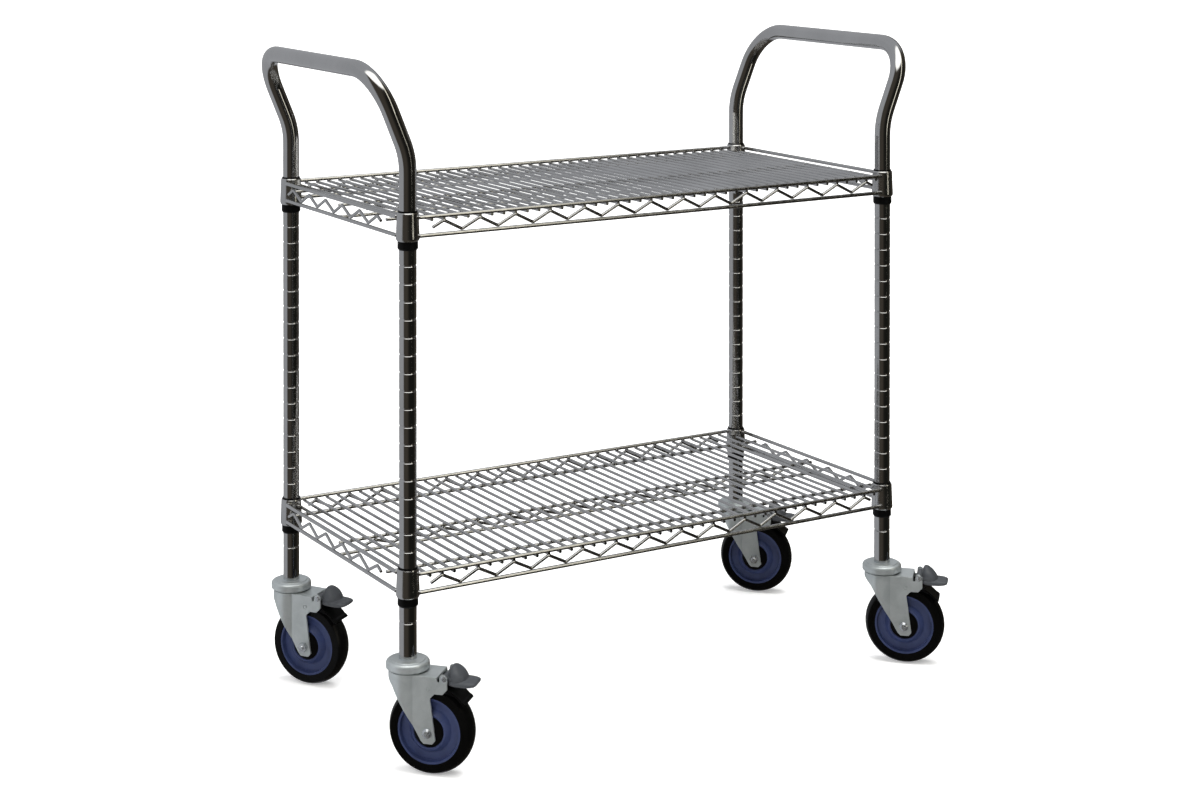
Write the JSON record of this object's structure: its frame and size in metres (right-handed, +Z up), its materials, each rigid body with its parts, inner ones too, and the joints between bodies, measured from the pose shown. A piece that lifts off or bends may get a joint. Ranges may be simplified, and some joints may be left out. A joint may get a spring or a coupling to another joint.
{
  "type": "wire shelf cart",
  "caption": "Chromed wire shelf cart: upper and lower wire shelves on grooved tube posts that bend into a push handle at each end, on swivel casters with brake pedals.",
  "frame": {"origin": "on the floor, midway between the four posts", "axes": "+X along the long side towards the right-hand handle, +Y across the short side towards the rear, +Z up"},
  "size_m": [1.0151, 0.5248, 1.0102],
  "materials": {
    "chromed_tube": "bright chrome plate",
    "chromed_wire": "chrome plate on welded wire, slightly softened",
    "zinc_steel": "satin blue-white zinc on pressed steel",
    "bright_zinc": "bright zinc fasteners",
    "bearing_steel": "ground bearing steel",
    "black_plastic": "moulded black nylon",
    "grey_plastic": "moulded dark grey nylon",
    "blue_grey_nylon": "moulded blue-grey nylon",
    "black_tread": "smooth black polyurethane with a soft gloss"
  },
  "bodies": {
    "frame": {"handle_frame_left": "chromed_tube", "handle_frame_right": "chromed_tube", "split_sleeves": "black_plastic", "stem_sockets": "chromed_tube", "caster_stems": "zinc_steel", "swivel_caps": "zinc_steel"},
    "upper_shelf": {"upper_collars": "chromed_tube", "upper_rails": "chromed_wire", "upper_zigzags": "chromed_wire", "upper_runners": "chromed_wire", "upper_deck_wires": "chromed_wire"},
    "lower_shelf": {"lower_collars": "chromed_tube", "lower_rails": "chromed_wire", "lower_zigzags": "chromed_wire", "lower_runners": "chromed_wire", "lower_deck_wires": "chromed_wire"},
    "fork_body_a": {"fork_a": "zinc_steel", "swivel_balls_a": "bearing_steel", "axle_bolt_a": "bright_zinc", "axle_nut_a": "bright_zinc", "pedal_pin_a": "bright_zinc"},
    "wheel_body_a": {"wheel_core_a": "blue_grey_nylon", "wheel_tyre_a": "black_tread", "wheel_bearings_a": "bearing_steel", "dust_covers_a": "black_plastic"},
    "pedal_body_a": {"brake_pedal_a": "grey_plastic"},
    "shoe_body_a": {"brake_shoe_a": "black_plastic"},
    "fork_body_b": {"fork_b": "zinc_steel", "swivel_balls_b": "bearing_steel", "axle_bolt_b": "bright_zinc", "axle_nut_b": "bright_zinc", "pedal_pin_b": "bright_zinc"},
    "wheel_body_b": {"wheel_core_b": "blue_grey_nylon", "wheel_tyre_b": "black_tread", "wheel_bearings_b": "bearing_steel", "dust_covers_b": "black_plastic"},
    "pedal_body_b": {"brake_pedal_b": "grey_plastic"},
    "shoe_body_b": {"brake_shoe_b": "black_plastic"},
    "fork_body_c": {"fork_c": "zinc_steel", "swivel_balls_c": "bearing_steel", "axle_bolt_c": "bright_zinc", "axle_nut_c": "bright_zinc", "pedal_pin_c": "bright_zinc"},
    "wheel_body_c": {"wheel_core_c": "blue_grey_nylon", "wheel_tyre_c": "black_tread", "wheel_bearings_c": "bearing_steel", "dust_covers_c": "black_plastic"},
    "pedal_body_c": {"brake_pedal_c": "grey_plastic"},
    "shoe_body_c": {"brake_shoe_c": "black_plastic"},
    "fork_body_d": {"fork_d": "zinc_steel", "swivel_balls_d": "bearing_steel", "axle_bolt_d": "bright_zinc", "axle_nut_d": "bright_zinc", "pedal_pin_d": "bright_zinc"},
    "wheel_body_d": {"wheel_core_d": "blue_grey_nylon", "wheel_tyre_d": "black_tread", "wheel_bearings_d": "bearing_steel", "dust_covers_d": "black_plastic"},
    "pedal_body_d": {"brake_pedal_d": "grey_plastic"},
    "shoe_body_d": {"brake_shoe_d": "black_plastic"}
  },
  "joints": [
    {"name": "upper_shelf_lift", "type": "slide", "parent": "frame", "child": "upper_shelf", "axis": [0, 0, 1], "range_m": [0, 0.055]},
    {"name": "lower_shelf_lift", "type": "slide", "parent": "frame", "child": "lower_shelf", "axis": [0, 0, 1], "range_m": [0, 0.45]},
    {"name": "swivel_a", "type": "hinge", "parent": "frame", "child": "fork_body_a", "pos_m": [-0.432, -0.203, 0.1475], "axis": [0, 0, 1], "continuous": true},
    {"name": "wheel_spin_a", "type": "hinge", "parent": "fork_body_a", "child": "wheel_body_a", "pos_m": [-0.40677, -0.23006, 0.0635], "axis": [0.7314, 0.682, 0], "continuous": true},
    {"name": "pedal_press_a", "type": "hinge", "parent": "fork_body_a", "child": "pedal_body_a", "pos_m": [-0.38992, -0.24813, 0.1425], "axis": [0.7314, 0.682, 0], "range_deg": [0, 15]},
    {"name": "shoe_turn_a", "type": "hinge", "parent": "fork_body_a", "child": "shoe_body_a", "pos_m": [-0.40499, -0.23196, 0.1261], "axis": [0.7314, 0.682, 0], "range_deg": [0, 3.3]},
    {"name": "swivel_b", "type": "hinge", "parent": "frame", "child": "fork_body_b", "pos_m": [-0.432, 0.203, 0.1475], "axis": [0, 0, 1], "continuous": true},
    {"name": "wheel_spin_b", "type": "hinge", "parent": "fork_body_b", "child": "wheel_body_b", "pos_m": [-0.41104, 0.17251, 0.0635], "axis": [0.8241, 0.5664, 0], "continuous": true},
    {"name": "pedal_press_b", "type": "hinge", "parent": "fork_body_b", "child": "pedal_body_b", "pos_m": [-0.39705, 0.15215, 0.1425], "axis": [0.8241, 0.5664, 0], "range_deg": [0, 15]},
    {"name": "shoe_turn_b", "type": "hinge", "parent": "fork_body_b", "child": "shoe_body_b", "pos_m": [-0.40957, 0.17036, 0.1261], "axis": [0.8241, 0.5664, 0], "range_deg": [0, 3.3]},
    {"name": "swivel_c", "type": "hinge", "parent": "frame", "child": "fork_body_c", "pos_m": [0.432, -0.203, 0.1475], "axis": [0, 0, 1], "continuous": true},
    {"name": "wheel_spin_c", "type": "hinge", "parent": "fork_body_c", "child": "wheel_body_c", "pos_m": [0.45862, -0.2287, 0.0635], "axis": [0.6947, 0.7193, 0], "continuous": true},
    {"name": "pedal_press_c", "type": "hinge", "parent": "fork_body_c", "child": "pedal_body_c", "pos_m": [0.47638, -0.24586, 0.1425], "axis": [0.6947, 0.7193, 0], "range_deg": [0, 15]},
    {"name": "shoe_turn_c", "type": "hinge", "parent": "fork_body_c", "child": "shoe_body_c", "pos_m": [0.46049, -0.23051, 0.1261], "axis": [0.6947, 0.7193, 0], "range_deg": [0, 3.3]},
    {"name": "swivel_d", "type": "hinge", "parent": "frame", "child": "fork_body_d", "pos_m": [0.432, 0.203, 0.1475], "axis": [0, 0, 1], "continuous": true},
    {"name": "wheel_spin_d", "type": "hinge", "parent": "fork_body_d", "child": "wheel_body_d", "pos_m": [0.45816, 0.17684, 0.0635], "axis": [0.7071, 0.7071, 0], "continuous": true},
    {"name": "pedal_press_d", "type": "hinge", "parent": "fork_body_d", "child": "pedal_body_d", "pos_m": [0.47563, 0.15937, 0.1425], "axis": [0.7071, 0.7071, 0], "range_deg": [0, 15]},
    {"name": "shoe_turn_d", "type": "hinge", "parent": "fork_body_d", "child": "shoe_body_d", "pos_m": [0.46, 0.175, 0.1261], "axis": [0.7071, 0.7071, 0], "range_deg": [0, 3.3]}
  ],
  "couplings": [
    {"joint": "shoe_turn_a", "follows": "pedal_press_a", "ratio": 0.22},
    {"joint": "shoe_turn_b", "follows": "pedal_press_b", "ratio": 0.22},
    {"joint": "shoe_turn_c", "follows": "pedal_press_c", "ratio": 0.22},
    {"joint": "shoe_turn_d", "follows": "pedal_press_d", "ratio": 0.22}
  ]
}
